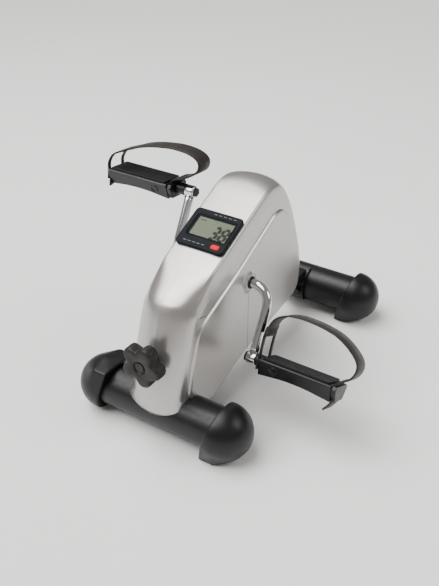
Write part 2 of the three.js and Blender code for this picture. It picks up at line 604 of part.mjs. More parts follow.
function toeStrap(hand) {
  const route = [...STRAP_ROUTE[hand], ...STRAP_DOWN, ...STRAP_TAIL[hand]];
  const points = route.map(([x, z]) => new THREE.Vector3(x, 0, z));
  const curve = new THREE.CatmullRomCurve3(points, false, 'centripetal');
  const fork = FORK_WIDE / 2;
  const band = STRAP_WIDE / 2;
  const strap = join(
    ribbon(curve, FORK_STEPS - 1, STRAP_STEPS, -band, band),
    ribbon(curve, FORK_STEPS - 1, FORK_STEPS + 1, -fork, fork),
    ribbon(curve, 0, FORK_STEPS, -fork, 6 - fork),
    ribbon(curve, 0, FORK_STEPS, fork - 6, fork),
  );
  const lean = STRAP_LEAN[hand];
  return strap.applyMatrix4(new THREE.Matrix4().set(1, 0, 0, 0, 0, 1, lean, 0, 0, 0, 1, 0, 0, 0, 0, 1));
}

// moulded pedal: flat top, arched bottom edge, hollow underneath, bored for the spindle
function pedalBody(side) {
  const half = PEDAL_LONG / 2;
  const top = PEDAL_TOP_DEEP / 2;
  const bottom = PEDAL_BOTTOM_DEEP / 2;
  const front = new THREE.Shape();
  front.moveTo(-half, PEDAL_BOTTOM);
  front.lineTo(-half + 9, PEDAL_BOTTOM + 1);
  front.quadraticCurveTo(0, PEDAL_BOTTOM + 8, half - 9, PEDAL_BOTTOM + 1);
  front.lineTo(half, PEDAL_BOTTOM);
  front.lineTo(half, PEDAL_TOP - 2);
  front.lineTo(-half, PEDAL_TOP - 2);
  const slab = new THREE.ExtrudeGeometry(front, { depth: 80, bevelEnabled: false, curveSegments: 8 });
  slab.rotateX(Math.PI / 2).translate(0, 40, 0);
  const section = plateYZ([
    [-bottom, PEDAL_BOTTOM], [bottom, PEDAL_BOTTOM], [top, 6], [top - 2, PEDAL_TOP - 2],
    [2 - top, PEDAL_TOP - 2],
    [-top, 6],
  ], -80, 80);
  const hollowSection = [
    [8.5, -30], [bottom - 3.5, -30], [bottom - 3.5, PEDAL_BOTTOM], [top - 5, 4], [8.5, 4],
  ];
  const hollows = [1, -1].map((s) => plateYZ(hollowSection.map(([y, z]) => [s * y, z]), -half + 5, half - 5));
  const bore = rodX(5.15, -half - 1, half - 9, 0, 0, 20);
  return cut(common(slab, section), ...hollows, side > 0 ? bore : mirrorX(bore));
}

// ribbed tread, clear of the strap
function pedalTread() {
  const plate = roundedBlock(PEDAL_LONG - 8, PEDAL_TOP_DEEP - 8, 3, PEDAL_TOP - 2 + GAP, PEDAL_TOP + 0.6, 3);
  const grooves = [];
  for (let k = -4; k <= 4; k += 1) {
    grooves.push(box(-60, 60, k * 3.6 - 0.5, k * 3.6 + 0.5, PEDAL_TOP - 0.2, PEDAL_TOP + 3));
  }
  return cut(plate, ...grooves);
}

// bridge across the pedal's end that the strap runs down behind
function pedalEnd() {
  const half = PEDAL_LONG / 2;
  const outline = [
    [-13, PEDAL_BOTTOM + 2], [13, PEDAL_BOTTOM + 2], [20.5, 3], [17, 7.5], [-17, 7.5], [-20.5, 3],
  ];
  const bridge = plateYZ(outline, half + GAP, half + PEDAL_END);
  const slot = STRAP_WIDE / 2 + 1.5;
  return cut(bridge, box(half - 1, half + 4.2, -slot, slot, -30, 30));
}

function buildPedal(hand, side) {
  const pedal = new THREE.Group();
  const [py, pz] = pedalAxle(side);
  const spindleHole = rodX(6.2, PEDAL_LONG / 2 - 2, PEDAL_LONG / 2 + 8, 0, 0, 20);
  const clearOfSpindle = (piece) => (side > 0 ? piece : cut(piece, spindleHole));
  pedal.position.set(side * (PEDAL_INNER[hand] + PEDAL_LONG / 2), py, pz);
  pedal.rotation.x = degrees(PEDAL_PITCH[hand]);
  machine.add(pedal);
  addPart(`${hand}_pedal_body`, pedalBody(side), BLACK_PLASTIC, pedal);
  addPart(`${hand}_pedal_tread`, pedalTread(), RUBBER, pedal);
  addPart(`${hand}_pedal_end`, clearOfSpindle(pedalEnd()), BLACK_PLASTIC, pedal);
  addPart(`${hand}_toe_strap`, clearOfSpindle(toeStrap(hand)), RUBBER, pedal);
}

buildFeet();
buildFrame();
buildHousing();
buildCrank();
buildBrake();
buildMonitor();
buildSensor();
buildPedal('left', -1);
buildPedal('right', 1);

export default machine;
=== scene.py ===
"""Pedal exerciser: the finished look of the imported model. Lengths in the tables are millimetres."""
import math

import bmesh
import bpy
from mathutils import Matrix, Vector


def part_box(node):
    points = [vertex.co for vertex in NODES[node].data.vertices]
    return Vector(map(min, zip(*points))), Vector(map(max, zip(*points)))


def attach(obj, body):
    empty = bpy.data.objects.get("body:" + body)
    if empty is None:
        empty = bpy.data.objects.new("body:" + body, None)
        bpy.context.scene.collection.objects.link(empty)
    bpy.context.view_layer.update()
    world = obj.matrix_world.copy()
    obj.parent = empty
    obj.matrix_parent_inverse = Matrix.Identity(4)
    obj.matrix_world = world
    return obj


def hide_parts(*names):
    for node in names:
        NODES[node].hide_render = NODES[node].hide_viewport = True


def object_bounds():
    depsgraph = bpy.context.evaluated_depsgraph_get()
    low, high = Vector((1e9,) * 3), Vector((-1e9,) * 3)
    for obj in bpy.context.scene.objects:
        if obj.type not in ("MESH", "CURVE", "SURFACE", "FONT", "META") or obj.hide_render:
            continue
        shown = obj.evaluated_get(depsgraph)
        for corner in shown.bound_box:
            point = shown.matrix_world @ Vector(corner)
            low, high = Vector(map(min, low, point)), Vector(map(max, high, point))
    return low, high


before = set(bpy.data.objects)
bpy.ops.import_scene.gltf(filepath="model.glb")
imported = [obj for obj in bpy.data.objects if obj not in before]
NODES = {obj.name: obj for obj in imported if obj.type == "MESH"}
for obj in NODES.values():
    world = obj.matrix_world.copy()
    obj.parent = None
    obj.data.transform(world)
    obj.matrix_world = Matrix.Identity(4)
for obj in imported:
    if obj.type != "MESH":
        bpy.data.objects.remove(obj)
CAD_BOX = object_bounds()

# the drawing's own origin, from where the front foot tube lies in the frame
TUBE_Y, TUBE_Z, TUBE_R = 195, 41, 30
tube_low, tube_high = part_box("front_tube")
ORIGIN = (tube_low + tube_high) / 2 - Vector((0, -TUBE_Y, TUBE_Z)) / 1000

AXLE_Y, AXLE_Z = -56.5, 177.5
CRANK_R = 95.5         # from the axle to a pedal spindle
CRANK_ANGLE = math.radians(61.8)
ARM_X = 80             # middle of a crank rod's straight length
EYE_R, EYE_HALF = 8.4, 6.6
ROD_R = 6.5
FLOOR = 4.5            # height of the soles in the drawing


def at(x, y, z):
    """Point in the frame, in metres, of a point in the drawing, in millimetres."""
    return ORIGIN + Vector((x, y, z)) / 1000


# ---------- camera ----------
camera = bpy.data.objects.new("camera", bpy.data.cameras.new("camera"))
bpy.context.collection.objects.link(camera)
camera.location = at(508.7, -833.6, 720.4)
camera.rotation_euler = (math.radians(58.19), 0, math.radians(33.34))
camera.data.lens = 48.33
camera.data.sensor_width = 36
bpy.context.scene.camera = camera


# ---------- materials ----------
class Look:
    """Node material with a Principled shader and object-space detail."""

    def __init__(self, name, colour, roughness=0.5, metallic=0.0, **sockets):
        self.material = bpy.data.materials.new(name)
        self.material.use_nodes = True
        self.tree = self.material.node_tree
        self.shader = self.tree.nodes["Principled BSDF"]
        self.shader.inputs["Base Color"].default_value = (*colour, 1)
        self.shader.inputs["Roughness"].default_value = roughness
        self.shader.inputs["Metallic"].default_value = metallic
        for key, value in sockets.items():
            self.shader.inputs[key.replace("_", " ")].default_value = value
        self.coords = self.tree.nodes.new("ShaderNodeTexCoord")
        self.colour = colour
        self.roughness = roughness

    def node(self, kind, **values):
        made = self.tree.nodes.new(kind)
        for key, value in values.items():
            made.inputs[key.replace("_", " ")].default_value = value
        return made

    def link(self, source, target):
        self.tree.links.new(source, target)

    def place(self, scale=(1, 1, 1)):
        mapping = self.node("ShaderNodeMapping", Scale=scale)
        self.link(self.coords.outputs["Object"], mapping.inputs["Vector"])
        return mapping.outputs["Vector"]

    def noise(self, scale, detail=4, stretch=(1, 1, 1)):
        made = self.node("ShaderNodeTexNoise", Scale=scale, Detail=detail)
        self.link(self.place(stretch), made.inputs["Vector"])
        return made.outputs["Fac"]

    def ramp(self, factor, low, high, start=0.3, end=0.7):
        made = self.tree.nodes.new("ShaderNodeValToRGB")
        for element, position, colour in zip(made.color_ramp.elements, (start, end), (low, high)):
            element.position = position
            element.color = (*colour, 1)
        self.link(factor, made.inputs["Fac"])
        return made.outputs["Color"]

    def vary_colour(self, scale, darker, lighter, detail=3, stretch=(1, 1, 1)):
        low = [c * darker for c in self.colour]
        high = [min(1, c * lighter) for c in self.colour]
        colour = self.ramp(self.noise(scale, detail, stretch), low, high)
        self.link(colour, self.shader.inputs["Base Color"])
        return self

    def vary_roughness(self, scale, spread, detail=4, stretch=(1, 1, 1)):
        low, high = self.roughness - spread, self.roughness + spread
        grey = self.ramp(self.noise(scale, detail, stretch), (low,) * 3, (high,) * 3)
        self.link(grey, self.shader.inputs["Roughness"])
        return self

    def bump(self, height, strength, distance):
        made = self.node("ShaderNodeBump", Strength=strength, Distance=distance)
        self.link(height, made.inputs["Height"])
        self.link(made.outputs["Normal"], self.shader.inputs["Normal"])
        return self


def painted_silver():
    look = Look("silver_paint", (0.47, 0.45, 0.435), 0.31, 0.85, Coat_Weight=0.12, Coat_Roughness=0.18)
    look.vary_colour(900, 0.94, 1.04, 2)
    look.vary_roughness(26, 0.03)
    return look.bump(look.noise(700, 2), 0.04, 0.0002)


def moulded_black(name, colour=(0.008, 0.008, 0.009), roughness=0.4, grain=1500):
    look = Look(name, colour, roughness, 0.0, Specular_IOR_Level=0.32)
    look.vary_colour(60, 0.8, 1.35)
    look.vary_roughness(90, 0.06)
    return look.bump(look.noise(grain, 3), 0.12, 0.0003)


def strap_rubber():
    look = Look("strap_rubber", (0.020, 0.017, 0.015), 0.5, 0.0, Specular_IOR_Level=0.3)
    look.vary_colour(120, 0.75, 1.3)
    look.vary_roughness(60, 0.07)
    return look.bump(look.noise(1100, 4), 0.25, 0.0004)


def metal(name, colour, roughness, scale=400, spread=0.04, stretch=(1, 1, 1)):
    look = Look(name, colour, roughness, 1.0)
    look.vary_roughness(scale, spread, 3, stretch)
    look.vary_colour(scale / 3, 0.92, 1.05, 3, stretch)
    return look.bump(look.noise(scale * 2, 2, stretch), 0.03, 0.0001)


def plain(name, colour, roughness, metallic=0.0, scale=300, bump=0.1, **sockets):
    look = Look(name, colour, roughness, metallic, **sockets)
    look.vary_colour(scale / 5, 0.88, 1.12)
    look.vary_roughness(scale / 3, 0.04)
    return look.bump(look.noise(scale * 4, 3), bump, 0.0002)


SILVER = painted_silver().material
CAP_BLACK = moulded_black("cap_plastic", (0.005, 0.0052, 0.006), 0.38).material
PEDAL_BLACK = moulded_black("pedal_plastic", (0.008, 0.008, 0.0095), 0.36, 1800).material
KNOB_BLACK = moulded_black("knob_plastic", (0.010, 0.0085, 0.008), 0.5, 1200).material
TUBE_BLACK = plain("tube_powder_coat", (0.006, 0.0062, 0.0075), 0.4, 0.0, 500, 0.16,
                   Specular_IOR_Level=0.36).material
CHROME = metal("crank_chrome", (0.74, 0.75, 0.77), 0.06, 200, 0.02, (1, 1, 0.2)).material
STEEL = metal("turned_steel", (0.50, 0.50, 0.51), 0.33, 500, 0.06).material
ZINC = metal("zinc_plate", (0.56, 0.57, 0.55), 0.38, 350, 0.06).material
STRAP = strap_rubber().material
TREAD = plain("tread_rubber", (0.010, 0.010, 0.011), 0.5, 0.0, 500, 0.2,
              Specular_IOR_Level=0.35).material
BEZEL = plain("bezel_plastic", (0.006, 0.008, 0.010), 0.5, 0.0, 400, 0.08,
              Specular_IOR_Level=0.09).material
LCD = plain("lcd_glass", (0.115, 0.142, 0.085), 0.5, 0.0, 120, 0.02,
            Specular_IOR_Level=0.15).material
DIGIT = plain("lcd_segment", (0.003, 0.004, 0.003), 0.6, 0.0, 200, 0.02,
              Specular_IOR_Level=0.04).material
RED = plain("button_red", (0.62, 0.010, 0.013), 0.4, 0.0, 300, 0.08,
            Specular_IOR_Level=0.15).material
MARK = plain("printed_mark", (0.17, 0.19, 0.21), 0.5, 0.0, 200, 0.02).material
SEAM = plain("seam_shadow", (0.035, 0.033, 0.03), 0.7, 0.0, 200, 0.05).material
FELT = plain("felt", (0.30, 0.27, 0.22), 0.9, 0.0, 800, 0.6, Sheen_Weight=0.4).material
BOARD = plain("board_lacquer", (0.03, 0.15, 0.06), 0.4, 0.0, 300, 0.1).material


def window_material():
    look = Look("display_window", (0.5, 0.54, 0.5), 0.25, 0.0, Alpha=0.03, IOR=1.2,
                Specular_IOR_Level=0.2)
    look.vary_roughness(90, 0.03)
    return look.material


WINDOW = window_material()


# ---------- mesh helpers ----------
BOX_FACES = [(0, 1, 2, 3), (4, 5, 6, 7), (0, 1, 5, 4), (1, 2, 6, 5), (2, 3, 7, 6), (3, 0, 4, 7)]


def scratch(name, verts, faces, smooth=False):
    """Object made of welded points in the drawing's millimetres, with its normals facing out."""
    mesh = bpy.data.meshes.new(name)
    mesh.from_pydata([at(*v) for v in verts], [], faces)
    build = bmesh.new()
    build.from_mesh(mesh)
    bmesh.ops.remove_doubles(build, verts=build.verts, dist=1e-6)
    bmesh.ops.recalc_face_normals(build, faces=build.faces)
    for face in build.faces:
        face.smooth = smooth
    build.to_mesh(mesh)
    build.free()
    obj = bpy.data.objects.new(name, mesh)
    bpy.context.collection.objects.link(obj)
    return obj


def piece(name, verts, faces, body, slot, material, stands_for=(), smooth=True):
    """Visible piece that rides on a body and, where it stands for CAD nodes, hides them."""
    obj = scratch(name, verts, faces, smooth)
    obj.data.materials.append(material)
    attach(obj, body)
    if stands_for:
        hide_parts(*stands_for)
    return obj


def even_normals(obj):
    """Keeps large flat faces flat under smooth shading."""
    weighted = obj.modifiers.new("weighted", "WEIGHTED_NORMAL")
    weighted.keep_sharp = True
    return obj


def round_edges(obj, width=0.8, segments=3, angle=35):
    """Small bevel, in millimetres, on edges sharper than angle."""
    bevel = obj.modifiers.new("bevel", "BEVEL")
    bevel.width = width / 1000
    bevel.segments = segments
    bevel.limit_method = "ANGLE"
    bevel.angle_limit = math.radians(angle)
    bevel.harden_normals = False
    return even_normals(obj)


def finish_node(name, material, width=0.6, angle=35):
    """Gives a CAD node welded, bevelled, smooth-shaded edges and its material."""
    obj = NODES[name]
    obj.data.materials.clear()
    obj.data.materials.append(material)
    weld = obj.modifiers.new("weld", "WELD")
    weld.merge_threshold = 0.00002
    flat = obj.modifiers.new("flat", "DECIMATE")
    flat.decimate_type = "DISSOLVE"
    flat.angle_limit = math.radians(2)
    obj.data.polygons.foreach_set("use_smooth", [True] * len(obj.data.polygons))
    return round_edges(obj, width, 3, angle)


def spline(points, steps):
    """Catmull-Rom through points of any dimension, steps samples between neighbours."""
    out = []
    last = len(points) - 1
    for i in range(last):
        a, b, c, d = points[max(i - 1, 0)], points[i], points[i + 1], points[min(i + 2, last)]
        for k in range(steps):
            t = k / steps
            out.append(tuple(
                0.5 * (2 * q + (r - p) * t + (2 * p - 5 * q + 4 * r - s) * t * t
                       + (3 * q - p - 3 * r + s) * t ** 3)
                for p, q, r, s in zip(a, b, c, d)))
    out.append(tuple(points[last]))
    return out


def grid_faces(rows, columns, closed=False):
    """Faces between rows of points; closed joins each row's last point to its first."""
    faces = []
    for i in range(rows - 1):
        for j in range(columns if closed else columns - 1):
            a, b = i * columns + j, i * columns + (j + 1) % columns
            faces.append((a, b, b + columns, a + columns))
    return faces


def end_faces(count, total):
    """Faces over the first and the last ring of count points."""
    return [tuple(range(count)), tuple(range(total - count, total))]


def lathe_x(profile, y, z, sides=64):
    """Turned shape round X through (y, z), from (x, radius) pairs. A radius of 0 closes an end."""
    verts = []
    for x, r in profile:
        for k in range(sides):
            turn = 2 * math.pi * k / sides
            verts.append((x, y + r * math.cos(turn), z + r * math.sin(turn)))
    return verts, grid_faces(len(profile), sides, closed=True)


def merge(*shapes):
    """Several (verts, faces) shapes as one."""
    verts, faces = [], []
    for new_verts, new_faces in shapes:
        base = len(verts)
        verts.extend(new_verts)
        faces.extend(tuple(i + base for i in face) for face in new_faces)
    return verts, faces


def sweep(path, section):
    """Carries a section [(u, v)] along a path; u is across the path, v is up from it. Ends are closed."""
    verts = []
    up = Vector((0, 1, 0))
    for i, here in enumerate(path):
        before, after = path[max(i - 1, 0)], path[min(i + 1, len(path) - 1)]
        along = (Vector(after) - Vector(before)).normalized()
        side = along.cross(up).normalized()
        if side.length < 0.5:
            side = Vector((1, 0, 0))
        over = side.cross(along).normalized()
        for u, v in section:
            verts.append(tuple(Vector(here) + side * u + over * v))
        up = over
    count = len(section)
    faces = grid_faces(len(path), count, closed=True)
    return verts, faces + end_faces(count, len(verts))


# ---------- foot tubes and caps ----------
TUBE_HALF = 108
CAP_X, CAP_R = 95.1, 39.25
CAP_RIM_X, CAP_RIM_LEAN = 84, math.radians(15)
FIRST_VOXEL, LAST_VOXEL = 0.0013, 0.0011


def foot_tube(place, side):
    end, wall = TUBE_HALF, TUBE_R - 2
    profile = [(-end, wall), *((x, TUBE_R) for x in (-end, -60, 0, 60, end)), (end, wall)]
    verts, faces = lathe_x(profile, side * TUBE_Y, TUBE_Z, 96)
    obj = piece(f"{place}_tube_finish", verts, faces, "base", "black_steel", TUBE_BLACK, [f"{place}_tube"])
    round_edges(obj, 0.3, 2, 50)


def apply_all(obj):
    """Bakes the object's modifiers into its mesh."""
    graph = bpy.context.evaluated_depsgraph_get()
    baked = bpy.data.meshes.new_from_object(obj.evaluated_get(graph))
    obj.modifiers.clear()
    obj.data = baked


def remesh(obj, voxel):
    voxels = obj.modifiers.new("voxels", "REMESH")
    voxels.mode = "VOXEL"
    voxels.voxel_size = voxel


def prism_faces(count):
    """Faces of a prism whose two ends have count points each."""
    sides = [(i, (i + 1) % count, (i + 1) % count + count, i + count) for i in range(count)]
    return end_faces(count, 2 * count) + sides


def prism_x(outline, x0, x1):
    verts = [(x0, y, z) for y, z in outline] + [(x1, y, z) for y, z in outline]
    return verts, prism_faces(len(outline))


def hull(points):
    """Convex hull as (verts, faces)."""
    build = bmesh.new()
    for point in sorted({tuple(round(c, 3) for c in p) for p in points}):
        build.verts.new(point)
    bmesh.ops.convex_hull(build, input=build.verts)
    bmesh.ops.delete(build, geom=[v for v in build.verts if not v.link_faces], context="VERTS")
    build.verts.index_update()
    shape = ([tuple(v.co) for v in build.verts], [tuple(v.index for v in f.verts) for f in build.faces])
    build.free()
    return shape


SOLE = [(-29, FLOOR), (29, FLOOR), (29, FLOOR + 4), (-29, FLOOR + 4)]


def end_cap(place, hand, side, end, turned):
    """Domed cap with a heel under its open end; a turned cap has its heel on top."""
    y = side * TUBE_Y
    flip = -1 if turned else 1
    dome = [(CAP_X + CAP_R * math.cos(a), CAP_R * math.sin(a))
            for a in (math.pi * k / 40 for k in range(41))]
    ball = lathe_x(dome, y, TUBE_Z, 72)
    foot = [v for v in ball[0] if flip * (v[2] - TUBE_Z) <= 0]
    foot += [(x, y + dy, TUBE_Z + flip * (z - TUBE_Z)) for dy, z in SOLE for x in (69, CAP_X)]
    verts, faces = merge(ball, hull(foot))
    verts = [(end * x, yy, zz) for x, yy, zz in verts]
    obj = scratch(f"{place}_{hand}_cap_finish", verts, faces)
    remesh(obj, FIRST_VOXEL)
    apply_all(obj)

    tilt = math.tan(CAP_RIM_LEAN) * flip
    wedge = []
    for z in (-40, 120):
        edge = CAP_RIM_X + (z - TUBE_Z) * tilt
        wedge += [(end * edge, y - 60, z), (end * edge, y + 60, z), (0, y + 60, z), (0, y - 60, z)]
    deep, wide = TUBE_HALF + 0.3, TUBE_R + 0.3
    bore = lathe_x([(0, 0), (0, wide), (deep, wide), (deep, 0)], y, TUBE_Z, 72)
    bore = ([(end * x, yy, zz) for x, yy, zz in bore[0]], bore[1])
    ground = [(x, yy, zz) for zz in (-40, FLOOR) for x, yy in
              ((0, y - 60), (0, y + 60), (end * 160, y + 60), (end * 160, y - 60))]
    for k, shape in enumerate(((wedge, BOX_FACES), bore, (ground, BOX_FACES))):
        tool = scratch(f"tool_{k}", *shape)
        cutter = obj.modifiers.new("cut", "BOOLEAN")
        cutter.operation = "DIFFERENCE"
        cutter.object = tool
        apply_all(obj)
        bpy.data.objects.remove(tool)
    remesh(obj, LAST_VOXEL)
    soft = obj.modifiers.new("soft", "SMOOTH")
    soft.iterations = 7
    soft.factor = 0.5
    apply_all(obj)
    for vertex in obj.data.vertices:
        vertex.co.z = max(vertex.co.z, ORIGIN.z + FLOOR / 1000)
    obj.data.polygons.foreach_set("use_smooth", [True] * len(obj.data.polygons))
    obj.data.materials.clear()
    obj.data.materials.append(CAP_BLACK)
    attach(obj, "base")
    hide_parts(f"{place}_{hand}_cap")


for place, side in (("front", -1), ("rear", 1)):
    foot_tube(place, side)
    for hand, end in (("left", -1), ("right", 1)):
        end_cap(place, hand, side, end, side < 0 and end < 0)
        finish_node(f"{place}_{hand}_bolt", TUBE_BLACK, 0.4)
        finish_node(f"{place}_{hand}_insert", ZINC, 0.2)
finish_node("main_frame", TUBE_BLACK, 0.8)

# ---------- housing ----------
HALF_WIDTH = 41.5
# the spine from front to back: y, z, and how flat it is across
OUTLINE = [
    (-228, 72, 0), (-225, 90, 0), (-220.5, 108, 0), (-215, 127, 0), (-209.5, 146, 0),
    (-203, 165, 0), (-197.5, 180, 0.05), (-193, 190, 0.15), (-187.5, 197.8, 0.3),
    (-179, 203.8, 0.45), (-169, 209.3, 0.65), (-158, 214.8, 0.85), (-147, 220, 1), (-120, 233, 1),
    (-85, 249.7, 1), (-51, 266, 1), (-30, 276, 1), (-11, 285, 1), (3, 290.4, 0.9), (16, 293.2, 0.75),
    (29, 293, 0.6), (42, 287.5, 0.45), (55, 277, 0.35), (68, 261.5, 0.25), (81, 241.5, 0.15),
    (92.5, 219, 0.05), (103, 193, 0), (111, 169, 0), (117, 146, 0), (119, 128, 0), (116, 112, 0),
    (108, 100, 0),
]
# from the spine out to the side: x, and the depth below the outline where it is flat and where it is round
SIDE_PROFILE = [
    (0, 0, 0), (14, 0.2, 1.8), (26, 0.6, 6.3), (34, 1.1, 12), (37.2, 1.6, 15.4), (38.9, 3.4, 17.8),
    (39.9, 7, 19.9), (40.7, 12.5, 22.2), (HALF_WIDTH, 24, 27),
]
UNDERSIDE = [(80, 90), (33, 82), (-44, 71), (-80, 61), (-105, 52), (-146, 38), (-180, 38), (-206, 44)]
PANEL_OUTLINE = [
    (15, 250), (-81, 202.5), (-160, 168.5), (-170, 162), (-176, 152), (-187, 118), (-196, 72),
    (-186, 52), (-146, 38), (-105, 52), (-80, 61), (-44, 71), (33, 82), (76, 89.5), (88, 98),
    (92, 112), (92, 135), (86, 165), (76, 193), (62, 218), (45, 238), (30, 249),
]
PANEL_X = 44.5
# the panel's rim: x, and how far in from its outline
PANEL_LEVELS = [(39.5, -1.5), (41.6, -1.4), (42.2, -1.0), (43.8, 0.7), (44.3, 1.4), (PANEL_X, 2.7)]
# the boss round the crank: x, radius
COLLAR = [(43.5, 19), (44.55, 17.5), (44.9, 15.6), (45.6, 14.2), (47.6, 11.4), (48.1, 10.4), (48.3, 9.5),
          (48.3, 7.4), (46, 7.4)]


def curve(start, corner, end, t):
    """Point at t on the quadratic curve that leaves start and reaches end by way of corner."""
    return start * (1 - t) ** 2 + corner * 2 * t * (1 - t) + end * t * t


def inset_polygon(points, depth):
    """Moves a clockwise or anticlockwise outline in by depth."""
    area = sum(a[0] * b[1] - b[0] * a[1] for a, b in zip(points, points[1:] + points[:1]))
    turn = 1 if area > 0 else -1
    out = []
    for i, here in enumerate(points):
        before, after = points[i - 1], points[(i + 1) % len(points)]
        along = Vector((after[0] - before[0], after[1] - before[1])).normalized()
        out.append((here[0] - turn * along.y * depth, here[1] + turn * along.x * depth))
    return out


def rounded_outline(points, radius, steps=4):
    """Replaces each corner of a closed outline with a small curve."""
    out = []
    for i, here in enumerate(points):
        here = Vector(here)
        before, after = Vector(points[i - 1]), Vector(points[(i + 1) % len(points)])
        into = (before - here).normalized() * min(radius, (before - here).length * 0.45)
        away = (after - here).normalized() * min(radius, (after - here).length * 0.45)
        out += [tuple(curve(here + into, here, here + away, k / steps)) for k in range(steps + 1)]
    return out


TONGUE_END_Y, TONGUE_ROUND = -147, 20


def flatness(outline, y):
    """How flat the spine is across its width at y; the flat part ends in a rounded tongue."""
    if y >= TONGUE_END_Y:
        return min(max(next((f for py, _, f in outline if py >= y), 0), 0), 1)
    pairs = zip(outline, outline[1:])
    before, after = next(((a, b) for a, b in pairs if b[0] >= y), (outline[0], outline[1]))
    share = min(max((y - before[0]) / (after[0] - before[0]), 0), 1)
    return min(max(before[2] + (after[2] - before[2]) * share, 0), 1)


def housing_half(sign):
    """One half of the housing, with its side panel and the collar round the crank."""
    outline = spline(OUTLINE, 5)
    profile = spline(SIDE_PROFILE, 3)
    verts = []
    for x, flat_in, round_in in profile:
        row = [(-206, 44), (-228 + 0.62 * round_in + 4, 55 + 0.38 * round_in - 9),
               (-228 + 0.62 * round_in, 55 + 0.38 * round_in)]
        for i, (y, z, _) in enumerate(outline):
            tongue = y - TONGUE_ROUND * (x / HALF_WIDTH) ** 2
            flat = min(flatness(outline, y), flatness(outline, tongue))
            before, after = outline[max(i - 1, 0)], outline[min(i + 1, len(outline) - 1)]
            along = Vector((after[0] - before[0], after[1] - before[1])).normalized()
            depth = round_in + (flat_in - round_in) * flat
            lift = max(0, round_in - 9) * 0.25 * max(0, 1 - i / 5)
            row.append((y + along.y * depth, z - along.x * depth + lift))
        verts.extend((sign * max(x, 0.02), y, z) for y, z in row)
    count = len(outline) + 3
    faces = grid_faces(len(profile), count)
    edge = len(verts) - count
    side_face = tuple(range(edge, edge + count))
    low = len(verts)
    verts.extend((sign * 41.65, y, z) for y, z in UNDERSIDE)
    faces.append(side_face + tuple(range(low, low + len(UNDERSIDE) - 1)))
    skin = (verts, faces)

    panel = rounded_outline(PANEL_OUTLINE, 9)
    rows = [[(sign * x, y, z) for y, z in inset_polygon(panel, depth)] for x, depth in PANEL_LEVELS]
    rows.append([(sign * PANEL_X, y, z) for y, z in inset_polygon(panel, 7)])
    panel_verts = [v for row in rows for v in row]
    panel_faces = grid_faces(len(rows), len(panel), closed=True)
    panel_faces.append(tuple(range(len(panel_verts) - len(panel), len(panel_verts))))
    collar = lathe_x([(sign * x, r) for x, r in COLLAR], AXLE_Y, AXLE_Z, 64)
    return merge(skin, (panel_verts, panel_faces), collar)


for hand, sign in (("left", -1), ("right", 1)):
    verts, faces = housing_half(sign)
    shell = piece(f"{hand}_housing", verts, faces, "base", "silver_shell", SILVER, [f"{hand}_shell"])
    even_normals(shell)
    low, high = 66, AXLE_Z - 18
    corners = [(AXLE_Y - 0.35, low), (AXLE_Y + 0.35, low), (AXLE_Y + 0.35, high), (AXLE_Y - 0.35, high)]
    verts = [(sign * x, y, z) for x in (PANEL_X + 0.06, PANEL_X - 0.3) for y, z in corners]
    piece(f"{hand}_housing_seam", verts, BOX_FACES, "base", "silver_shell", SEAM, smooth=False)

# y, z, x of each screw on the left
SCREW_PLACES = [(-192, 96, PANEL_X), (-162, 182, 41.6), (22, 270, 40.9), (82, 128, PANEL_X)]


def screw_head(name, x, y, z, r, stands_for=()):
    """Low domed head with a cross slot, on a side face of the housing; x carries the side's sign."""
    out = 1 if x > 0 else -1
    dome = [(-0.6, r), (0.15, r), (0.5, r * 0.86), (0.72, r * 0.55), (0.78, 0.02)]
    head = lathe_x([(x + out * rise, radius) for rise, radius in dome], y, z, 32)
    piece(name, *head, "base", "zinc", ZINC, stands_for)
    slots = []
    for turn in (0.4, 0.4 + math.pi / 2):
        a = Vector((math.cos(turn), math.sin(turn))) * r * 0.62
        b = Vector((-math.sin(turn), math.cos(turn))) * r * 0.13
        corners = [a + b, b - a, -a - b, a - b]
        low, high = x + out * 0.6, x + out * 0.84
        slots.append(([(h, y + c.x, z + c.y) for h in (low, high) for c in corners], BOX_FACES))
    piece(f"{name}_slot", *merge(*slots), "base", "zinc", SEAM, smooth=False)


for k, (y, z, x) in enumerate(SCREW_PLACES):
    screw_head(f"housing_screw_{k + 1}", -x, y, z, 3.1, [f"shell_screw_{k + 1}"])
screw_head("skirt_screw", PANEL_X, -75, 70, 2.1)


# ---------- crank ----------
def pedal_axle(side):
    """y, z of a pedal's spindle."""
    return (AXLE_Y - side * CRANK_R * math.cos(CRANK_ANGLE),
            AXLE_Z - side * CRANK_R * math.sin(CRANK_ANGLE))


def circle(radius, sides):
    return [(radius * math.cos(2 * math.pi * k / sides), radius * math.sin(2 * math.pi * k / sides))
            for k in range(sides)]


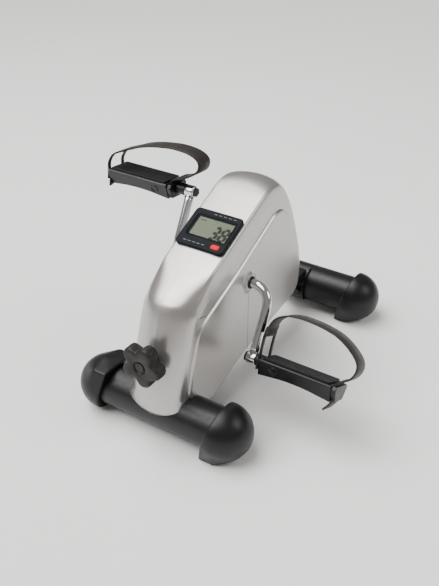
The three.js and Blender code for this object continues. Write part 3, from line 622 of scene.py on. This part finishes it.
def crank_arm(hand, side):
    """Rod bent from the axle to the pedal's eye, with the seal where it leaves the housing."""
    dy, dz = -side * math.cos(CRANK_ANGLE), -side * math.sin(CRANK_ANGLE)
    bend = 30

    def point(x, out):
        return Vector((side * x, AXLE_Y + out * dy, AXLE_Z + out * dz))

    path = [point(46.3, 0), point(46.8, 0), point(48, 0)]
    start, corner, end = point(ARM_X - bend, 0), point(ARM_X, 0), point(ARM_X, bend)
    path += [curve(start, corner, end, k / 24) for k in range(25)]
    path += [point(ARM_X, bend + (CRANK_R - 4 - bend) * k / 6) for k in range(1, 7)]
    rod = sweep([tuple(p) for p in path], circle(ROD_R, 32))
    py, pz = pedal_axle(side)
    ring = [(-EYE_HALF, 5.3), (-EYE_HALF, 7.4), (-EYE_HALF + 0.9, EYE_R), (0, EYE_R),
            (EYE_HALF - 0.9, EYE_R), (EYE_HALF, 7.4), (EYE_HALF, 5.3), (-EYE_HALF, 5.3)]
    eye = lathe_x([(side * (ARM_X + x), r) for x, r in ring], py, pz, 48)
    verts, faces = merge(rod, eye)
    even_normals(piece(f"{hand}_crank_rod", verts, faces, "crank", "chrome", CHROME, [f"{hand}_crank_arm"]))
    seal = [(48.6, 7.2), (48.6, 8.7), (49, 8.9), (49.8, 8.7), (50.3, 8.0), (50.4, 7.2)]
    verts, faces = lathe_x([(side * x, r) for x, r in seal], AXLE_Y, AXLE_Z, 48)
    piece(f"{hand}_crank_collar", verts, faces, "base", "black_plastic", CAP_BLACK,
          [f"{hand}_crank_seal"])
    finish_node(f"{hand}_pedal_spindle", PEDAL_BLACK, 0.5)
    finish_node(f"{hand}_spindle_nut", TUBE_BLACK, 0.5)


crank_arm("left", -1)
crank_arm("right", 1)
for name in ("crank_axle", "brake_wheel", "left_bearing", "right_bearing", "screw_clip"):
    finish_node(name, STEEL, 0.4)
for name in ("tension_screw", "speed_magnet", "battery"):
    finish_node(name, ZINC, 0.3)
finish_node("brake_pad", FELT, 0.5)
for name in ("brake_carrier", "monitor_case", "speed_sensor", "sensor_lead"):
    finish_node(name, PEDAL_BLACK, 0.3)

# ---------- resistance knob ----------
KNOB_Y, KNOB_Z, KNOB_R = -223.4, 130.5, 30
KNOB_LOBES, KNOB_PHASE, KNOB_VALLEY = 5, 1.16, 8.5


def knob():
    """Lobed grip on a round hub, built as rings from the back of the hub to the sunk middle."""
    sides = 120

    def ring(out, shrink, lobe=1.0):
        row = []
        for k in range(sides):
            turn = 2 * math.pi * k / sides
            wave = (0.5 - 0.5 * math.cos(KNOB_LOBES * (turn - KNOB_PHASE))) ** 1.5
            r = max(0.01, KNOB_R - shrink - KNOB_VALLEY * wave * lobe)
            row.append((r * math.cos(turn), KNOB_Y - out, KNOB_Z + r * math.sin(turn)))
        return row

    def plain_ring(out, r):
        return [(x, KNOB_Y - out, KNOB_Z + z) for x, z in circle(r, sides)]

    rows = [plain_ring(-18, 5), plain_ring(-18, 9.2), plain_ring(-17.5, 9.5), plain_ring(-0.5, 9.5),
            plain_ring(0, 10.5), ring(0, 3.4), ring(0.35, 1.9), ring(1.1, 0.7), ring(2.4, 0.15),
            ring(4, 0), ring(9, 0), ring(14.2, 0.1), ring(15.8, 0.6), ring(17, 1.6), ring(17.7, 3.0),
            ring(17.95, 5.0, 0.95), ring(17.95, 8.0, 0.8), plain_ring(17.8, 10.2),
            plain_ring(17.2, 9.2), plain_ring(15.6, 8.8), plain_ring(15.2, 8.2), plain_ring(15.2, 0.02)]
    verts = [v for row in rows for v in row]
    faces = grid_faces(len(rows), sides, closed=True)
    piece("knob_grip", verts, faces, "knob", "black_plastic", KNOB_BLACK, ["tension_knob"])


knob()
finish_node("knob_cover", KNOB_BLACK, 0.4)

# ---------- monitor ----------
SLOPE = math.radians(25.5)
MONITOR_AT = Vector((0, -83, 266.7 + (-83 + 51.2) * math.tan(SLOPE)))
WINDOW_BOX = (1.5, 3.5, 57, 32)        # middle x, middle y, width, height


def on_monitor(x, y, z):
    """Point on the display's slope; x is across, y up the slope and z out of it."""
    return (x, MONITOR_AT.y + y * math.cos(SLOPE) - z * math.sin(SLOPE),
            MONITOR_AT.z + y * math.sin(SLOPE) + z * math.cos(SLOPE))


def rounded_rect(cx, cy, width, height, radius, steps=8):
    points = []
    for sx, sy, first in ((1, 1, 0), (-1, 1, 1), (-1, -1, 2), (1, -1, 3)):
        for k in range(steps + 1):
            turn = math.pi / 2 * (first + k / steps)
            points.append((cx + sx * (width / 2 - radius) + radius * math.cos(turn),
                           cy + sy * (height / 2 - radius) + radius * math.sin(turn)))
    return points


def bezel():
    """Frame round the display window, from its outer foot over the top and down to the window."""
    width, height = 73.4, 62
    outside = [(-0.05, 0), (1.9, 0), (2.8, 0.35), (3.2, 1.0), (3.3, 2.0)]
    rows = [rounded_rect(0, 0, width - 2 * i, height - 2 * i, max(6 - i, 1)) for _, i in outside]
    heights = [h for h, _ in outside]
    wx, wy, ww, wh = WINDOW_BOX
    for grow, h in ((3.4, 3.3), (2.6, 3.2), (0.6, 2.0), (0.1, 1.8), (0, -0.05)):
        rows.append(rounded_rect(wx, wy, ww + 2 * grow, wh + 2 * grow, 2 + grow))
        heights.append(h)
    verts = [on_monitor(x, y, h) for row, h in zip(rows, heights) for x, y in row]
    faces = grid_faces(len(rows), len(rows[0]), closed=True)
    even_normals(piece("monitor_surround", verts, faces, "base", "bezel", BEZEL, ["monitor_bezel"]))


def slab(name, outline, low, high, edge, body, slot, material, stands_for=()):
    """Thin block on the monitor's face with a rounded top edge."""
    cx = sum(p[0] for p in outline) / len(outline)
    cy = sum(p[1] for p in outline) / len(outline)

    def pull(value, middle, depth):
        away = value - middle
        return middle + away * (1 - depth / max(abs(away), 0.5 * edge + 1)) if abs(away) > edge else value

    def shrink(depth):
        return [(pull(x, cx, depth), pull(y, cy, depth)) for x, y in outline]

    rows = [(outline, low), (outline, high - edge), (shrink(edge * 0.3), high - edge * 0.3),
            (shrink(edge), high)]
    verts = [on_monitor(x, y, h) for row, h in rows for x, y in row]
    count = len(outline)
    faces = grid_faces(len(rows), count, closed=True) + end_faces(count, len(verts))
    piece(name, verts, faces, body, slot, material, stands_for)


bezel()
finish_node("lcd_panel", LCD, 0.1)
finish_node("circuit_board", BOARD, 0.1)
finish_node("lcd_window", WINDOW, 0.2)
slab("button_cap", rounded_rect(22.5, -23, 13, 7.5, 2.8), 1.0, 4.3, 1.0, "button", "red_button", RED,
     ["reset_button"])

SEGMENTS = {"3": "abcdg", "8": "abcdefg"}


def digit(name, x, y, character):
    """Seven-segment figure standing on (x, y), slanted as on a display."""
    w, h, thick = 8.2, 19, 4.4
    bars = {
        "a": (0, h, w, h), "b": (w, h / 2, w, h), "c": (w, 0, w, h / 2), "d": (0, 0, w, 0),
        "e": (0, 0, 0, h / 2), "f": (0, h / 2, 0, h), "g": (0, h / 2, w, h / 2),
    }
    shapes = []
    for key in SEGMENTS[character]:
        x0, y0, x1, y1 = bars[key]
        along = Vector((x1 - x0, y1 - y0)).normalized()
        across = Vector((-along.y, along.x)) * thick / 2
        a, b = Vector((x0, y0)) + along * 0.35, Vector((x1, y1)) - along * 0.35
        points = [a, a + along * thick / 2 + across, b - along * thick / 2 + across, b,
                  b - along * thick / 2 - across, a + along * thick / 2 - across]
        flat = [(x + p.x + 0.14 * p.y, y + p.y) for p in points]
        verts = [on_monitor(px, py, h) for h in (0.72, 0.9) for px, py in flat]
        shapes.append((verts, prism_faces(6)))
    piece(name, *merge(*shapes), "base", "lcd", DIGIT, smooth=False)


digit("display_digit_1", 3.2, -10.6, "3")
digit("display_digit_2", 16.8, -10.6, "8")


def mark(name, x, y, w, h, low, material, slot="bezel"):
    """Small raised bar with its lower left corner at (x, y)."""
    points = [(x, y), (x + w, y), (x + w, y + h), (x, y + h)]
    verts = [on_monitor(px, py, z) for z in (low, low + 0.1) for px, py in points]
    piece(name, verts, BOX_FACES, "base", slot, material, smooth=False)


mark("display_dot", 13.4, -12.0, 2.0, 2.2, 0.72, DIGIT, "lcd")
mark("display_bar", -22, 13.5, 8, 1.2, 0.75, DIGIT, "lcd")
for k in range(5):
    mark(f"bezel_rule_{k}", -26 + 7 * k, -24.6, 4.6, 0.8, 3.24, MARK)
    mark(f"bezel_tick_{k}", -7 + 7.4 * k, 25.2, 4.4, 0.7, 3.24, MARK)

# ---------- pedals ----------
PEDAL_INNER = {"left": 108.4, "right": 98.9}
PEDAL_LONG = 104.5
PEDAL_PITCH = {"left": math.radians(-5), "right": math.radians(-26)}
STRAP_LEAN = {"left": 0.08, "right": 0.0}
STRAP_ROUTE = {
    "right": [(-54.6, -8), (-54.6, 6), (-55, 22), (-55, 36), (-54, 48), (-50, 59), (-43, 66),
              (-32, 71), (-18, 73.5), (0, 73.5), (20, 71.5), (38, 67.5), (53, 60.5), (65, 52),
              (72.5, 44), (74.9, 36), (73.5, 28), (69, 20.5), (62, 15.6), (55.6, 11.4), (54.6, 4),
              (54.6, -3), (54.4, -13), (51, -20), (46, -27)],
    "left": [(-54.6, -8), (-54.8, 6), (-54.8, 17), (-47, 29.5), (-32, 36.5), (-18, 42), (-3.5, 47.5),
             (16.5, 52.5), (44.5, 56.4), (61.5, 56.9), (78.5, 55.4), (91, 51.5), (97.5, 46),
             (98.5, 39), (95, 32), (84, 24), (72, 18.5), (62, 15.6), (55.6, 11.4), (54.6, 4),
             (54.6, -3), (54.6, -10)],
}
ROUTE_STEPS = 6


def on_pedal(hand):
    """Function that carries a point from the pedal's own axes to the drawing's."""
    side = -1 if hand == "left" else 1
    py, pz = pedal_axle(side)
    middle = side * (PEDAL_INNER[hand] + PEDAL_LONG / 2)
    turn = PEDAL_PITCH[hand]

    def place(x, y, z):
        return (middle + x, py + y * math.cos(turn) - z * math.sin(turn),
                pz + y * math.sin(turn) + z * math.cos(turn))
    return place


def band(route, y_low, y_high, thick=2.4, edge=0.7):
    """Strap strip with softened edges along a route in the pedal's own XZ plane."""
    half, middle = thick / 2, (y_low + y_high) / 2
    chamfer, rise = half - edge * 0.4, edge * 0.3
    section = [(-half, y_low + edge), (-chamfer, y_low + rise), (0, y_low), (chamfer, y_low + rise),
               (half, y_low + edge), (half, middle), (half, y_high - edge),
               (chamfer, y_high - rise), (0, y_high), (-chamfer, y_high - rise),
               (-half, y_high - edge), (-half, middle)]
    verts = []
    for i, (x, z) in enumerate(route):
        before, after = route[max(i - 1, 0)], route[min(i + 1, len(route) - 1)]
        along = Vector((after[0] - before[0], after[1] - before[1])).normalized()
        for n, y in section:
            verts.append((x - along.y * n, y, z + along.x * n))
    count = len(section)
    return verts, grid_faces(len(route), count, closed=True) + end_faces(count, len(verts))


def toe_strap(hand):
    """Strap that starts as two narrow legs at the outer end and goes on as one wide band."""
    place = on_pedal(hand)
    fine = spline(STRAP_ROUTE[hand], ROUTE_STEPS)
    fork_end = ROUTE_STEPS * 3 + 4
    merged = merge(
        band(fine[fork_end - 3:], -14, 14),
        band(fine[fork_end - 4:fork_end + 4], -18, 18),
        band(fine[:fork_end], -18, -12),
        band(fine[:fork_end], 12, 18),
    )
    lean = STRAP_LEAN[hand]
    verts = [place(x, y + lean * z, z) for x, y, z in merged[0]]
    piece(f"{hand}_strap", verts, merged[1], f"{hand}_pedal", "rubber", STRAP, [f"{hand}_toe_strap"])


def pedal_boss(hand):
    """Round moulded boss with a sunk middle on each long face of the pedal, near the crank."""
    place = on_pedal(hand)
    side = -1 if hand == "left" else 1
    shapes = []
    for face in (-1, 1):
        out = Vector((0, face * 21, -8)).normalized()
        across, along = Vector((1, 0, 0)), out.cross(Vector((1, 0, 0)))
        middle = Vector((-side * 30, face * 18.4, -3.5))
        profile = [(-0.5, 6.6), (0.55, 6.4), (0.9, 5.9), (0.9, 5.2), (0.2, 4.7), (0.15, 0.01)]
        verts = [tuple(middle + out * h + across * u + along * v)
                 for h, r in profile for u, v in circle(r, 40)]
        shapes.append(([place(*v) for v in verts], grid_faces(len(profile), 40, closed=True)))
    piece(f"{hand}_pedal_boss", *merge(*shapes), f"{hand}_pedal", "black_plastic", PEDAL_BLACK)


def end_flange():
    """Skirt below the outer end of the left pedal."""
    place = on_pedal("left")
    outline = [(-14, 2), (-17.5, -6), (-18.5, -19), (-9, -16.5), (0, -15.8), (9, -16.5), (18.5, -19),
               (17.5, -6), (14, 2)]
    verts, faces = prism_x(outline, -53.2, -49.5)
    verts = [place(*v) for v in verts]
    obj = piece("left_pedal_flange", verts, faces, "left_pedal", "black_plastic", PEDAL_BLACK)
    round_edges(obj, 1.1, 3, 30)


end_flange()
for hand in ("left", "right"):
    pedal_boss(hand)
    finish_node(f"{hand}_pedal_body", PEDAL_BLACK, 1.7, 25)
    finish_node(f"{hand}_pedal_tread", TREAD, 0.25, 40)
    finish_node(f"{hand}_pedal_end", PEDAL_BLACK, 0.7)
    toe_strap(hand)

# ---------- floor and light ----------
floor_mesh = bpy.data.meshes.new("floor")
floor_z = CAD_BOX[0].z
corners = [(x, y, floor_z) for x, y in ((-6, -6), (6, -6), (6, 6), (-6, 6))]
floor_mesh.from_pydata(corners, [], [(0, 1, 2, 3)])
floor = bpy.data.objects.new("floor", floor_mesh)
bpy.context.collection.objects.link(floor)
floor_look = Look("floor_paper", (0.93, 0.93, 0.92), 0.9)
floor_look.vary_colour(3, 0.99, 1.01)
floor_mesh.materials.append(floor_look.material)

world = bpy.data.worlds.new("studio")
bpy.context.scene.world = world
world.use_nodes = True
world.node_tree.nodes["Background"].inputs["Color"].default_value = (1, 0.95, 0.9, 1)
world.node_tree.nodes["Background"].inputs["Strength"].default_value = 0.3


def area_light(name, where, size, power, target=(0, 0, 0.15)):
    data = bpy.data.lights.new(name, "AREA")
    data.shape = "RECTANGLE"
    data.size, data.size_y = size
    data.energy = power
    light = bpy.data.objects.new(name, data)
    bpy.context.collection.objects.link(light)
    light.location = where
    light.rotation_euler = (Vector(target) - Vector(where)).to_track_quat("-Z", "Y").to_euler()


def sun(name, towards, power, spread):
    data = bpy.data.lights.new(name, "SUN")
    data.energy = power
    data.angle = math.radians(spread)
    light = bpy.data.objects.new(name, data)
    bpy.context.collection.objects.link(light)
    light.rotation_euler = Vector(towards).to_track_quat("-Z", "Y").to_euler()


sun("daylight", (0.35, 0.35, -1), 2.9, 50)
area_light("key", (-0.9, -1.2, 1.3), (0.7, 0.9), 8)
area_light("ridge", (1.5, 0.4, 1.35), (0.8, 0.8), 12)
area_light("top", (-0.95, 0.1, 2.0), (1.5, 1.5), 26)
